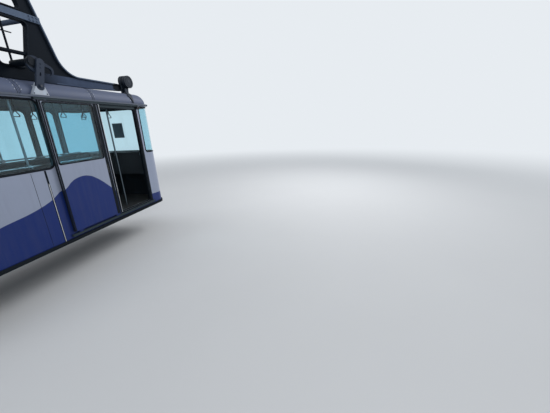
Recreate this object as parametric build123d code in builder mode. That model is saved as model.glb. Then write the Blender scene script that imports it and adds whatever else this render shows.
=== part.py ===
from build123d import *
from math import cos, radians, sin
import os

os.makedirs("parts", exist_ok=True)

# Cable car cabin with its hanger and the carriage that runs on two track ropes.
# X points down the line, Y to the left and Z up, in millimetres.
# The origin lies midway between the two track ropes, at the height of their centres.
# A level is a height above the cabin's floor. "Out" is the distance outside a side wall's face.

# Overall sizes
rope_level = 5750
cabin_length = 5340
cabin_width = 2150
corner_radius = 300
wall = 60
shaft_gap = 0.1
seat_gap = 0.3

half_length = cabin_length / 2
half_width = cabin_width / 2


def at(level):
    return level - rope_level


def plan(outset, mode=Mode.ADD):
    """Rounded outline of the cabin seen from above, grown by outset."""
    RectangleRounded(
        cabin_length + 2 * outset, cabin_width + 2 * outset, corner_radius + outset, mode=mode
    )


def tube_between(start, end, radius):
    """Round bar from one point to another, added to the part being built."""
    path = Vector(*end) - Vector(*start)
    with BuildSketch(Plane(origin=start, z_dir=path)) as section:
        Circle(radius)
    extrude(section.sketch, amount=path.length)


def save(part, name):
    part.label = name
    export_step(part, f"parts/{name}.step")


# Cabin levels
skirt_level = -150
eaves_level = 2330
roof_level = 2565
belt_level = 1190
window_top = 2265
window_corner = 110
header_level = 2200

# Side windows, as low and high ends along X on the platform side, and the doorway
side_windows = [(-1860, -1300), (-1220, -120), (-40, 880)]
door_low = 990
door_high = 2060
door_corner = 40
door_joint = 2100
window_joint = 1905

# End window, which wraps round both corners and further along the side that has no doorway there
start_by_door = 2205
start_by_window = 1950
end_window_bottom = 1205
end_window_corner = 70

glass = 12
glass_inset = 3

# Side walls: one panel a side between the end sections, with windows and a doorway cut through.
# The far side is the platform side turned half round, so its doorway lies towards the other end.
sides = [("platform", -1), ("far", 1)]
ends = [("valley", 1), ("uphill", -1)]


def wall_section(x_low, x_high, y_low, y_high):
    """The part of the cabin's rounded wall that lies between these limits."""
    with BuildPart() as section:
        with BuildSketch(Plane.XY.offset(at(skirt_level))):
            plan(0)
            plan(-wall, Mode.SUBTRACT)
        extrude(amount=eaves_level - skirt_level)
        with BuildSketch(Plane.XY.offset(at(skirt_level))):
            with Locations(((x_low + x_high) / 2, (y_low + y_high) / 2)):
                Rectangle(x_high - x_low, y_high - y_low)
        extrude(amount=eaves_level - skirt_level, mode=Mode.INTERSECT)
    return section.part


def window_outline(turn, x_start, x_stop, bottom, top, corner, clearance=0):
    """A rounded window seen from the side, made smaller all round by clearance."""
    with Locations((-turn * (x_start + x_stop) / 2, at((bottom + top) / 2))):
        RectangleRounded(
            x_stop - x_start - 2 * clearance, top - bottom - 2 * clearance, corner - clearance
        )


for side, turn in sides:
    x_low, x_high = sorted((turn * window_joint, -turn * door_joint))
    section = wall_section(x_low, x_high, min(0, turn * cabin_width), max(0, turn * cabin_width))
    side_face = Plane.XZ.offset(-turn * half_width)
    with BuildPart() as side_wall:
        add(section)
        with BuildSketch(side_face):
            for low, high in side_windows:
                window_outline(turn, low, high, belt_level, window_top, window_corner)
            window_outline(turn, door_low, door_high, 0, header_level, door_corner)
        extrude(amount=wall * 2, both=True, mode=Mode.SUBTRACT)
    save(side_wall.part, f"side_wall_{side}")

    with BuildPart() as side_glass:
        with BuildSketch(side_face.offset(turn * glass_inset)):
            for low, high in side_windows:
                window_outline(turn, low, high, belt_level, window_top, window_corner, seat_gap)
        extrude(amount=turn * glass)
    save(side_glass.part, f"side_glass_{side}")

# End walls: one moulding that turns both corners, open all round for the wrap-round window


def end_opening(way, clearance=0):
    """The space that a wrap-round window takes out of one end, made smaller all round by clearance."""
    with BuildPart() as opening:
        for side, turn in sides:
            start = start_by_door if way == -turn else start_by_window
            with BuildSketch(Plane.XZ):
                window_outline(
                    -way,
                    start,
                    half_length + corner_radius,
                    end_window_bottom,
                    window_top,
                    end_window_corner,
                    clearance,
                )
            extrude(amount=-turn * cabin_width)
    return opening.part


for end, way in ends:
    with BuildPart() as end_wall:
        for side, turn in sides:
            joint = door_joint if way == -turn else window_joint
            x_low, x_high = sorted((way * joint, way * cabin_length))
            add(wall_section(x_low, x_high, min(0, turn * cabin_width), max(0, turn * cabin_width)))
        add(end_opening(way), mode=Mode.SUBTRACT)
    save(end_wall.part, f"end_wall_{end}")

    with BuildPart() as end_glass:
        with BuildSketch(Plane.XY.offset(at(end_window_bottom))):
            plan(-glass_inset)
            plan(-glass_inset - glass, Mode.SUBTRACT)
        extrude(amount=window_top - end_window_bottom)
        add(end_opening(way, seat_gap), mode=Mode.INTERSECT)
    save(end_glass.part, f"end_glass_{end}")

# Roof: a shell with a coved edge, in three mouldings, with its panel joints as narrow grooves
cove_radius = 220
roof_skin = 50
seam_width = 8
seam_depth = 5
roof_seams = [-2050, -330, 980, 2050]


def roof_body(inset):
    """The roof as a solid, made smaller by inset above and at the sides."""
    with BuildPart() as body:
        with BuildSketch(Plane.XY.offset(at(eaves_level))):
            plan(-inset)
        extrude(amount=roof_level - eaves_level - inset)
        fillet(body.faces().sort_by(Axis.Z)[-1].edges(), cove_radius - inset)
    return body.part


roof_outside = roof_body(0)
roof_inside = roof_body(roof_skin)
groove_floor = roof_body(seam_depth)
with BuildPart() as seam_grooves:
    with Locations([(x, 0, at(roof_level)) for x in roof_seams]):
        Box(seam_width, 2 * cabin_width, 2 * (roof_level - eaves_level))
    add(groove_floor, mode=Mode.SUBTRACT)

roof_parts = [("uphill", -cabin_length, roof_seams[0]), ("middle", roof_seams[0], roof_seams[-1]),
              ("valley", roof_seams[-1], cabin_length)]
roof_shells = {}
for name, x_low, x_high in roof_parts:
    with BuildPart() as roof:
        add(roof_outside)
        add(roof_inside, mode=Mode.SUBTRACT)
        add(seam_grooves.part, mode=Mode.SUBTRACT)
        with Locations(((x_low + x_high) / 2, 0, at(roof_level))):
            Box(x_high - x_low, 2 * cabin_width, 2 * cabin_width, mode=Mode.INTERSECT)
    roof_shells[name] = roof.part
    save(roof.part, f"roof_{name}")

# Gutter: a channel round the eaves with an upstanding lip
gutter_out = 60
gutter_level = 2302
gutter_floor = 6
gutter_lip = 28
with BuildPart() as gutter:
    with BuildSketch(Plane.XY.offset(at(gutter_level))):
        plan(gutter_out)
        plan(0, Mode.SUBTRACT)
    extrude(amount=gutter_floor)
    with BuildSketch(Plane.XY.offset(at(gutter_level))):
        plan(gutter_out)
        plan(gutter_out - gutter_floor, Mode.SUBTRACT)
    extrude(amount=gutter_lip)
save(gutter.part, "gutter")

# Floor, underframe and the buffer strip round the skirt
floor_thickness = 60
beam_depth = 150
beam_width = 70
beam_offset = 520
cross_beams = 5
with BuildPart() as floor:
    with BuildSketch(Plane.XY.offset(at(-floor_thickness))):
        plan(-wall)
    extrude(amount=floor_thickness)
save(floor.part, "floor")

frame_length = cabin_length - 2 * corner_radius
frame_width = cabin_width - 2 * wall - 2 * beam_width
with BuildPart() as underframe:
    with BuildSketch(Plane.XY.offset(at(-floor_thickness - beam_depth))):
        with GridLocations(0, 2 * beam_offset, 1, 2):
            Rectangle(frame_length, beam_width)
        with GridLocations((frame_length - beam_width) / (cross_beams - 1), 0, cross_beams, 1):
            Rectangle(beam_width, frame_width)
    extrude(amount=beam_depth)
save(underframe.part, "underframe")

strip_out = 25
strip_height = 60
with BuildPart() as buffer_strip:
    with BuildSketch(Plane.XY.offset(at(skirt_level))):
        plan(strip_out)
        plan(0, Mode.SUBTRACT)
    extrude(amount=strip_height)
save(buffer_strip.part, "buffer_strip")

# Sliding doors: each leaf hangs outside its wall from a rail under the gutter
door_gap = 10
leaf_thickness = 40
leaf_overlap = 40
leaf_bottom = 25
leaf_top = 2262
trailing_stile = 45
leading_stile = 150
leaf_window_top = 2238
leaf_belt = 1225
leaf_corner = 35
door_open = 1085
leaf_width = door_high - door_low + 2 * leaf_overlap
closed_low = door_low - leaf_overlap

rail_end = 50
rail_wall = 5
rail_slot = 10
rail_low = closed_low - door_open - rail_end
rail_high = closed_low + leaf_width + rail_end
rail_width = door_gap + leaf_thickness
rail_bottom = 2269
stem = 6
leaf_middle = door_gap + leaf_thickness / 2
trolley_width = 24
trolley_length = 90
trolley_height = 13
trolley_inset = 130
blade_depth = 68
guide_top = -20
guide_floor = -54


def across(turn, out, level):
    """A point of the doors' cross-section, out from the side wall's face, in the YZ plane."""
    return turn * (half_width + out), at(level)


for side, turn in sides:
    with BuildPart() as rail:
        with BuildSketch(Plane.YZ.offset(min(-turn * rail_low, -turn * rail_high))):
            middle = (rail_bottom + gutter_level) / 2
            with Locations(across(turn, rail_width / 2, middle)):
                Rectangle(rail_width, gutter_level - rail_bottom)
            with Locations(across(turn, leaf_middle, middle)):
                Rectangle(
                    trolley_width + 2 * rail_wall,
                    gutter_level - rail_bottom - 2 * rail_wall,
                    mode=Mode.SUBTRACT,
                )
            with Locations(across(turn, leaf_middle, rail_bottom)):
                Rectangle(rail_slot, 3 * rail_wall, mode=Mode.SUBTRACT)
            with Locations(across(turn, rail_width / 2, (guide_top + guide_floor) / 2)):
                Rectangle(rail_width, guide_top - guide_floor)
            with Locations(across(turn, leaf_middle, guide_top)):
                Rectangle(
                    rail_slot + stem, 2 * (guide_top - guide_floor - rail_wall), mode=Mode.SUBTRACT
                )
        extrude(amount=rail_high - rail_low)
    save(rail.part, f"door_rails_{side}")

    # The platform door stands open and the far one is shut, as stored
    leaf_low = closed_low - door_open if side == "platform" else closed_low
    leaf_high = leaf_low + leaf_width
    glass_low = leaf_low + trailing_stile
    glass_high = leaf_high - leading_stile
    outer_face = Plane.XZ.offset(-turn * (half_width + door_gap))
    with BuildPart() as leaf:
        with BuildSketch(outer_face):
            with Locations((-turn * (leaf_low + leaf_high) / 2, at((leaf_bottom + leaf_top) / 2))):
                Rectangle(leaf_width, leaf_top - leaf_bottom)
            with BuildSketch(mode=Mode.SUBTRACT):
                window_outline(turn, glass_low, glass_high, leaf_belt, leaf_window_top, leaf_corner)
        extrude(amount=-turn * leaf_thickness)
        hangers = [-turn * (leaf_low + trolley_inset), -turn * (leaf_high - trolley_inset)]
        stem_top = rail_bottom + rail_wall + seat_gap + trolley_height / 2
        stem_bottom = (leaf_top + leaf_window_top) / 2
        for x in hangers:
            y = turn * (half_width + leaf_middle)
            with Locations((x, y, at((stem_top + stem_bottom) / 2))):
                Box(trolley_length / 2, stem, stem_top - stem_bottom)
            with Locations((x, y, at(stem_top))):
                Box(trolley_length, trolley_width, trolley_height)
            with Locations((x, y, at(leaf_bottom - blade_depth / 2))):
                Box(trolley_length, stem, blade_depth)
    save(leaf.part, f"door_leaf_{side}")

    with BuildPart() as leaf_glass:
        with BuildSketch(outer_face.offset(-turn * (leaf_thickness - glass_inset - glass))):
            window_outline(turn, glass_low, glass_high, leaf_belt, leaf_window_top, leaf_corner, seat_gap)
        extrude(amount=-turn * glass)
    save(leaf_glass.part, f"door_glass_{side}")

# Inside: consoles under the end windows, poles, handrails and hanging rings
ceiling_level = roof_level - roof_skin
console_depth = 210
console_bottom = 620
console_top = 1190
console_width = 1650
inner_end = half_length - wall
with BuildPart() as consoles:
    with BuildSketch(Plane.XY.offset(at(console_bottom))):
        for end, turn in ends:
            with Locations((turn * (inner_end - console_depth / 2), 0)):
                Rectangle(console_depth, console_width)
        plan(-wall, Mode.INTERSECT)
    extrude(amount=console_top - console_bottom)
save(consoles.part, "consoles")

pole_radius = 17
door_pole = (1555, 775)
window_pole = (-430, 915)
rail_radius = 16
rail_level = 1250
rail_inset = 60
handrail_low = -2240
handrail_high = 900
clamp = 60
with BuildPart() as grab_poles:
    with BuildSketch(Plane.XY.offset(at(0))):
        with Locations([(-turn * door_pole[0], turn * door_pole[1]) for side, turn in sides]):
            Circle(pole_radius)
    extrude(amount=ceiling_level)
save(grab_poles.part, "door_poles")

handrail_y = half_width - wall - rail_inset
with BuildPart() as handrails:
    for side, turn in sides:
        y = turn * handrail_y
        tube_between(
            (-turn * handrail_low, y, at(rail_level)), (-turn * handrail_high, y, at(rail_level)), rail_radius
        )
        for x in (handrail_low + clamp, window_pole[0], handrail_high - clamp):
            with Locations((-turn * x, turn * (half_width - wall - rail_inset / 2), at(rail_level - rail_radius))):
                Box(clamp / 2, rail_inset, rail_radius)
        foot = (-turn * window_pole[0], turn * (handrail_y - pole_radius), at(rail_level))
        with Locations(foot):
            Box(clamp, clamp, clamp)
        tube_between(foot, (foot[0], foot[1], at(ceiling_level)), pole_radius)
    add(roof_shells["middle"], mode=Mode.SUBTRACT)
save(handrails.part, "handrails")

end_rail_level = 1215
end_rail_gap = 50
with BuildPart() as end_rails:
    for end, turn in ends:
        x = turn * (inner_end - console_depth - end_rail_gap)
        reach = console_width / 2
        tube_between((x, -reach, at(end_rail_level)), (x, reach, at(end_rail_level)), rail_radius)
        for y in (-reach + clamp, 0, reach - clamp):
            with Locations((x + turn * end_rail_gap / 2, y, at(end_rail_level - clamp))):
                Box(end_rail_gap, rail_radius, clamp)
            with Locations((x, y, at(end_rail_level - clamp))):
                Box(rail_radius, rail_radius, 2 * clamp - 2 * rail_radius)
save(end_rails.part, "end_rails")

ceiling_rail_y = 375
ceiling_rail_level = 2440
ring_rows = [-1750, -1250, -800, 20, 870, 1330, 2030]
ring_level = 2092
handle_corners = [(-18, 52), (-66, -20), (-56, -50), (56, -50), (66, -20), (18, 52)]
handle_hole = [(-12, 38), (-52, -20), (-46, -38), (46, -38), (52, -20), (12, 38)]
ring_band = 12
band_width = 20
with BuildPart() as hanging_rings:
    for side, turn in sides:
        y = turn * ceiling_rail_y
        ends_x = (ring_rows[0] - clamp, ring_rows[-1] + clamp)
        tube_between((ends_x[0], y, at(ceiling_rail_level)), (ends_x[1], y, at(ceiling_rail_level)), rail_radius)
        for x in (ends_x[0] + clamp / 2, 0, ends_x[1] - clamp / 2):
            with Locations((x, y, at((ceiling_rail_level + ceiling_level) / 2))):
                Box(rail_radius, rail_radius, ceiling_level - ceiling_rail_level)
        with BuildSketch(Plane.XZ.offset(-y - ring_band / 2)):
            with Locations([(x, at(ring_level)) for x in ring_rows]):
                Polygon(*handle_corners, align=None)
                Polygon(*handle_hole, align=None, mode=Mode.SUBTRACT)
            band_bottom = ring_level + handle_hole[0][1]
            with Locations([(x, at((band_bottom + ceiling_rail_level) / 2)) for x in ring_rows]):
                Rectangle(band_width, ceiling_rail_level - band_bottom)
        extrude(amount=ring_band)
save(hanging_rings.part, "hanging_rings")

# Hanger: two flanged side frames whose legs flare into long arms above the roof
frame_y = 675
web = 20
flange_width = 90
flange = 22
arm_bottom = 2604
arm_tip_bottom = 2642
arm_taper_x = 1300
arm_top = 2785
arm_end = 2230
leg_foot = 839
leg_flare = 400
shoulder_level = 4900
shoulder = 225
head_top = 5280
head_corner = 150
head_level = 5150

# Openings through a frame, as level and half width at the bottom and at the top
frame_openings = [(2807, 185, 3500, 375), (3670, 335, 4080, 225), (4210, 185, 4760, 60)]
opening_corner = 55


def frame_outline():
    """Outline of one side frame, seen from the side."""
    right = [
        (arm_taper_x, arm_bottom, 0),
        (arm_end, arm_tip_bottom, 0),
        (arm_end, arm_top, 0),
        (leg_foot, arm_top, leg_flare),
        (shoulder, shoulder_level, leg_flare),
        (shoulder - 15, head_top, head_corner),
    ]
    corners = right + [(-x, level, radius) for x, level, radius in reversed(right)]
    with BuildLine() as edge:
        FilletPolyline(
            *[(x, at(level)) for x, level, radius in corners],
            radius=[radius for x, level, radius in corners],
            close=True,
        )
    make_face(edge.edges())


def opening_outline(bottom, low_half, top, high_half):
    """Outline of one opening between the legs, seen from the side."""
    with BuildLine() as edge:
        FilletPolyline(
            (-low_half, at(bottom)), (low_half, at(bottom)), (high_half, at(top)), (-high_half, at(top)),
            radius=opening_corner,
            close=True,
        )
    make_face(edge.edges())


with BuildSketch(Plane.XZ) as outline:
    frame_outline()
with BuildSketch(Plane.XZ) as openings:
    for opening in frame_openings:
        opening_outline(*opening)
with BuildSketch(Plane.XZ) as rims:
    add(outline.sketch)
    offset(outline.sketch, amount=-flange, mode=Mode.SUBTRACT)
    for hole in openings.sketch.faces():
        offset(hole, amount=flange, kind=Kind.ARC, mode=Mode.ADD)
    add(openings.sketch, mode=Mode.SUBTRACT)

# Cross bars: a band over both legs and a tube through the lower opening
band_level = 3585
band_height = 100
band_reach = 610
tube_level = 3015
tube_radius = 30
tube_reach = 262

# Climbing post up the middle of each frame, with pegs to stand on
post_radius = 15
peg_radius = 9
peg_reach = 115
peg_levels = [3290, 3790, 3960]

# Lug at each end of an arm, which carries the damper's axle
damper_reach = 220
damper_x = arm_end + damper_reach
damper_level = 2865
damper_radius = 140
damper_half_width = 92
axle_radius = 30
lug_radius = 62

for side, turn in sides:
    frame_plane = Plane.XZ.offset(-turn * frame_y)
    with BuildPart() as frame:
        with BuildSketch(frame_plane):
            add(outline.sketch)
            add(openings.sketch, mode=Mode.SUBTRACT)
        extrude(amount=web / 2, both=True)
        with BuildSketch(frame_plane):
            add(rims.sketch)
        extrude(amount=flange_width / 2, both=True)
        with BuildSketch(frame_plane):
            with Locations((0, at(band_level))):
                Rectangle(2 * band_reach, band_height)
        extrude(amount=flange_width / 2, both=True)
        y = turn * frame_y
        tube_between((-tube_reach, y, at(tube_level)), (tube_reach, y, at(tube_level)), tube_radius)
        for bottom, low_half, top, high_half in frame_openings:
            tube_between((0, y, at(bottom - flange)), (0, y, at(top + flange)), post_radius)
        for level in peg_levels:
            tube_between((-peg_reach, y, at(level)), (peg_reach, y, at(level)), peg_radius)
        with BuildSketch(frame_plane):
            for end, way in ends:
                with BuildLine():
                    Polyline(
                        (way * (arm_end - flange), at(arm_tip_bottom)),
                        (way * (damper_x + lug_radius / 2), at(arm_tip_bottom)),
                        (way * (damper_x + lug_radius), at(damper_level)),
                        (way * (damper_x - lug_radius), at(damper_level)),
                        (way * (arm_end - flange), at(arm_top)),
                        close=True,
                    )
                make_face()
                with Locations((way * damper_x, at(damper_level))):
                    Circle(lug_radius)
            with Locations([(way * damper_x, at(damper_level)) for end, way in ends]):
                Circle(axle_radius, mode=Mode.SUBTRACT)
        extrude(amount=web / 2, both=True)
    save(frame.part, f"hanger_frame_{side}")

# Dampers: a rubber drum on each side of every lug, joined by the axle
with BuildPart() as dampers:
    drum_inner = web / 2 + seat_gap
    for side, turn in sides:
        for end, way in ends:
            for face in (-1, 1):
                y = turn * frame_y + face * drum_inner
                with BuildSketch(Plane(origin=(way * damper_x, y, at(damper_level)), z_dir=(0, face, 0))):
                    Circle(damper_radius)
                extrude(amount=damper_half_width - drum_inner)
            tube_between(
                (way * damper_x, turn * frame_y - damper_half_width, at(damper_level)),
                (way * damper_x, turn * frame_y + damper_half_width, at(damper_level)),
                axle_radius,
            )
save(dampers.part, "damper_drums")

# Head of the hanger: a box beam between the frames, and the lug that hangs on the carriage's pin
pin_level = 5550
pin_radius = 45
head_beam_size = 200
head_lug = 120
boss_radius = 85
rocker_gap = 110
rocker_plate = 25
boss_clearance = 6
with BuildPart() as head_beam:
    with BuildSketch(Plane.XZ):
        with Locations((0, at(head_level))):
            Rectangle(head_beam_size, head_beam_size)
    extrude(amount=frame_y - web / 2, both=True)
    with BuildSketch(Plane.XZ):
        with BuildLine():
            Polyline(
                (-head_beam_size / 2, at(head_level)),
                (head_beam_size / 2, at(head_level)),
                (boss_radius, at(pin_level)),
                (-boss_radius, at(pin_level)),
                close=True,
            )
        make_face()
    extrude(amount=head_lug / 2, both=True)
    with BuildSketch(Plane.XZ):
        with Locations((0, at(pin_level))):
            Circle(boss_radius)
    extrude(amount=rocker_gap - boss_clearance, both=True)
    with BuildSketch(Plane.XZ):
        with Locations((0, at(pin_level))):
            Circle(pin_radius + shaft_gap)
    extrude(amount=rocker_gap, both=True, mode=Mode.SUBTRACT)
save(head_beam.part, "head_beam")

# Ties between the two frames, at the arms and at the band
tie_radius = 40
arm_tie_x = 1250
band_tie_x = 470
with BuildPart() as ties:
    for end, way in ends:
        reach = frame_y - web / 2
        level = at((arm_bottom + arm_top) / 2)
        tube_between((way * arm_tie_x, -reach, level), (way * arm_tie_x, reach, level), tie_radius)
        reach = frame_y - flange_width / 2
        level = at(band_level)
        tube_between((way * band_tie_x, -reach, level), (way * band_tie_x, reach, level), tie_radius)
save(ties.part, "hanger_ties")

# Slings: an oval ring on a stub from each frame, and a strap down to a bracket on the roof's edge
sling_pin = (-26, 2468)
sling_pin_radius = 16
sling_lean = 73
sling_length = 370
strap_width = 118
strap_thickness = 35
strap_hole = (0.5, 60, 22)
ring_ends = [((10, 2790), 120), ((226, 2730), 70)]
ring_hole = (165, 2722)
ring_hole_size = (190, 112)
ring_hole_corner = 50
ring_hole_tilt = -12
ring_plate = 35
stub_radius = 50
stub_point = (-38, 2816)
stub_proud = 12
bracket_plate = 15
pin_proud = 25


def along_strap(distance):
    """A point on the strap's centre line, at this distance up from its pin."""
    lean = radians(sling_lean)
    return sling_pin[0] + distance * cos(lean), at(sling_pin[1]) + distance * sin(lean)


with BuildPart() as rings:
    for side, turn in sides:
        outer = Plane.XZ.offset(-turn * (half_width + bracket_plate))
        with BuildSketch(outer) as plate:
            for (x, level), radius in ring_ends:
                with Locations((x, at(level))):
                    Circle(radius)
            make_hull(plate.edges())
            with Locations((ring_hole[0], at(ring_hole[1]))):
                RectangleRounded(
                    *ring_hole_size, ring_hole_corner, rotation=ring_hole_tilt, mode=Mode.SUBTRACT
                )
        extrude(amount=turn * ring_plate)
        tube_between(
            (stub_point[0], turn * (half_width + bracket_plate + stub_proud), at(stub_point[1])),
            (stub_point[0], turn * (frame_y + flange_width / 2), at(stub_point[1])),
            stub_radius,
        )
save(rings.part, "sling_rings")

with BuildPart() as straps:
    for side, turn in sides:
        inner = Plane.XZ.offset(-turn * (half_width + bracket_plate))
        with BuildSketch(inner):
            with Locations(along_strap(sling_length / 2)):
                SlotCenterToCenter(sling_length, strap_width, rotation=sling_lean)
            with Locations(along_strap(strap_hole[0] * sling_length)):
                SlotOverall(strap_hole[1], strap_hole[2], rotation=sling_lean, mode=Mode.SUBTRACT)
            with Locations(along_strap(0)):
                Circle(sling_pin_radius + shaft_gap, mode=Mode.SUBTRACT)
        extrude(amount=-turn * strap_thickness)
save(straps.part, "sling_straps")

# Brackets: a trapezoid with a notch round the strap's foot, ribbed back to the cove
bracket_low = 2334
bracket_top = 2515
horn_level = 2462
bracket_base = (-180, 80)
bracket_horns = (-98, 40)
bracket_head = (-74, 22)
notch_gap = 6
rib_thickness = 12
rib_offset = 58
rib_top = 2480
with BuildPart() as brackets:
    for side, turn in sides:
        face = Plane.XZ.offset(-turn * half_width)
        with BuildSketch(face):
            with BuildLine():
                Polyline(
                    (bracket_base[0], at(bracket_low)),
                    (bracket_base[1], at(bracket_low)),
                    (bracket_head[1], at(bracket_top)),
                    (bracket_head[0], at(bracket_top)),
                    close=True,
                )
            make_face()
        extrude(amount=-turn * bracket_plate)
        with BuildSketch(face.offset(-turn * bracket_plate)):
            with BuildLine():
                Polyline(
                    (bracket_base[0], at(bracket_low)),
                    (bracket_base[1], at(bracket_low)),
                    (bracket_horns[1], at(horn_level)),
                    (bracket_horns[0], at(horn_level)),
                    close=True,
                )
            make_face()
            with Locations(along_strap(sling_length / 2)):
                SlotCenterToCenter(
                    sling_length, strap_width + 2 * notch_gap, rotation=sling_lean, mode=Mode.SUBTRACT
                )
        extrude(amount=-turn * strap_thickness)
        with BuildSketch(face.offset(-turn * bracket_plate)):
            with Locations(along_strap(0)):
                Circle(sling_pin_radius)
        extrude(amount=-turn * (strap_thickness + pin_proud))
        for offset_x in (-rib_offset, rib_offset):
            with BuildSketch(Plane.YZ.offset(sling_pin[0] + offset_x)):
                with Locations((turn * (half_width - cove_radius / 4), at((bracket_low + rib_top) / 2))):
                    Rectangle(cove_radius / 2, rib_top - bracket_low)
                with Locations((turn * (half_width - cove_radius), at(roof_level - cove_radius))):
                    Circle(cove_radius + seat_gap, mode=Mode.SUBTRACT)
                with Locations((turn * (half_width - cove_radius), at(eaves_level))):
                    Rectangle(
                        2 * cove_radius + 2 * seat_gap,
                        2 * (roof_level - cove_radius - eaves_level),
                        mode=Mode.SUBTRACT,
                    )
            extrude(amount=rib_thickness / 2, both=True)
save(brackets.part, "roof_brackets")

# Hold-down bands: flat bars that run aslant over the cove, from a block under each damper to the eaves
hold_start = (damper_x - 50, frame_y - 75)
hold_end = (damper_x - 410, half_width - 7)
hold_width = 100
hold_thickness = 16
hold_block = (damper_x - 85, frame_y)
hold_block_length = 110
hold_block_width = 120
hold_block_top = 2705
with BuildPart() as bands:
    for side, turn in sides:
        centre_y = half_width - cove_radius
        centre_z = at(roof_level - cove_radius)
        with BuildSketch(Plane.YZ) as profile:
            for radius, mode in ((cove_radius + hold_thickness, Mode.ADD), (cove_radius + seat_gap, Mode.SUBTRACT)):
                diagonal = radius * sin(radians(45))
                with BuildLine():
                    Polyline(
                        (turn * centre_y, centre_z + radius),
                        (turn * hold_start[1], centre_z + radius),
                        (turn * hold_start[1], at(bracket_low)),
                        (turn * (centre_y + radius), at(bracket_low)),
                        (turn * (centre_y + radius), centre_z),
                    )
                    ThreePointArc(
                        (turn * (centre_y + radius), centre_z),
                        (turn * (centre_y + diagonal), centre_z + diagonal),
                        (turn * centre_y, centre_z + radius),
                    )
                make_face(mode=mode)
        for end, way in ends:
            start = Vector(way * hold_start[0], turn * hold_start[1])
            finish = Vector(way * hold_end[0], turn * hold_end[1])
            run = finish - start
            with BuildPart(mode=Mode.PRIVATE) as band:
                extrude(profile.sketch, amount=way * hold_start[0] * 2)
                with BuildSketch(Plane(origin=(start.X, start.Y, at(eaves_level)), x_dir=run, z_dir=(0, 0, 1))):
                    with Locations((run.length / 2, 0)):
                        Rectangle(run.length, hold_width)
                extrude(amount=roof_level, mode=Mode.INTERSECT)
                block_height = hold_block_top - roof_level - hold_thickness / 2
                with Locations((way * hold_block[0], turn * hold_block[1], at(hold_block_top - block_height / 2))):
                    Box(hold_block_length, hold_block_width, block_height)
                with Locations((way * hold_block[0], turn * hold_block[1], at(hold_block_top))):
                    Box(
                        2 * hold_block_length,
                        web + 2 * seat_gap,
                        2 * (hold_block_top - arm_tip_bottom),
                        mode=Mode.SUBTRACT,
                    )
            add(band.part)
save(bands.part, "hold_down_bands")

# Carriage: four bogies of two wheels, two to each track rope, on two bolsters and a main rocker
rope_radius = 25
rope_y = 350
wheel_radius = 175
wheel_half_width = 42
wheel_base = 480
bogie_x = 520
bolster_radius = 40
bolster_z = 110
wheel_axle_radius = 25
hub_radius = 52
hub_half_width = 47
web_half_width = 13
rim_depth = 42
groove_top = 28
groove_bottom = 15
side_gap = 5
bogie_plate = 16
bogie_inner = hub_half_width + side_gap
axle_end = 6
eye_radius = 75
eye_chamfer = 30

with BuildPart() as bogies:
    for side, turn in sides:
        for face in (-1, 1):
            y = turn * rope_y + face * (bogie_inner + bogie_plate / 2)
            with BuildSketch(Plane.XZ.offset(-y)):
                for end, way in ends:
                    with BuildLine(Location((way * bogie_x, 0))):
                        half = wheel_base / 2
                        corner = eye_radius - eye_chamfer
                        Polyline(
                            (-half - eye_radius, wheel_radius - corner),
                            (-half - eye_radius, wheel_radius + corner),
                            (-half - corner, wheel_radius + eye_radius),
                            (half + corner, wheel_radius + eye_radius),
                            (half + eye_radius, wheel_radius + corner),
                            (half + eye_radius, wheel_radius - corner),
                            (half + corner, wheel_radius - eye_radius),
                            (eye_radius, bolster_z - eye_radius),
                            (-eye_radius, bolster_z - eye_radius),
                            (-half - corner, wheel_radius - eye_radius),
                            close=True,
                        )
                    make_face()
                    with Locations((way * bogie_x, bolster_z)):
                        Circle(bolster_radius + shaft_gap, mode=Mode.SUBTRACT)
                    with Locations((way * bogie_x, wheel_radius)):
                        with GridLocations(wheel_base, 0, 2, 1):
                            Circle(wheel_axle_radius + shaft_gap, mode=Mode.SUBTRACT)
            extrude(amount=bogie_plate / 2, both=True)
save(bogies.part, "bogie_plates")

with BuildPart() as axles:
    for side, turn in sides:
        with BuildSketch(Plane.XZ.offset(-turn * rope_y)):
            for end, way in ends:
                with Locations((way * bogie_x, wheel_radius)):
                    with GridLocations(wheel_base, 0, 2, 1):
                        Circle(wheel_axle_radius)
        extrude(amount=bogie_inner + bogie_plate + axle_end, both=True)
save(axles.part, "wheel_axles")

for side, turn in sides:
    for end, way in ends:
        for place, step in (("outer", 1), ("inner", -1)):
            x = way * (bogie_x + step * wheel_base / 2)
            with BuildPart() as wheel:
                with BuildSketch(Plane(origin=(x, turn * rope_y, wheel_radius), x_dir=(0, 0, 1), z_dir=(1, 0, 0))):
                    rim_inner = wheel_radius - rim_depth
                    bore = wheel_axle_radius + shaft_gap
                    with BuildLine():
                        Polyline(
                            (bore, -hub_half_width),
                            (hub_radius, -hub_half_width),
                            (hub_radius, -web_half_width),
                            (rim_inner, -web_half_width),
                            (rim_inner, -wheel_half_width),
                            (wheel_radius, -wheel_half_width),
                            (wheel_radius, -groove_top),
                            (wheel_radius - rope_radius, -groove_bottom),
                            (wheel_radius - rope_radius, groove_bottom),
                            (wheel_radius, groove_top),
                            (wheel_radius, wheel_half_width),
                            (rim_inner, wheel_half_width),
                            (rim_inner, web_half_width),
                            (hub_radius, web_half_width),
                            (hub_radius, hub_half_width),
                            (bore, hub_half_width),
                            close=True,
                        )
                    make_face()
                revolve(axis=Axis((x, turn * rope_y, wheel_radius), (0, 1, 0)))
            save(wheel.part, f"wheel_{side}_{end}_{place}")

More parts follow.
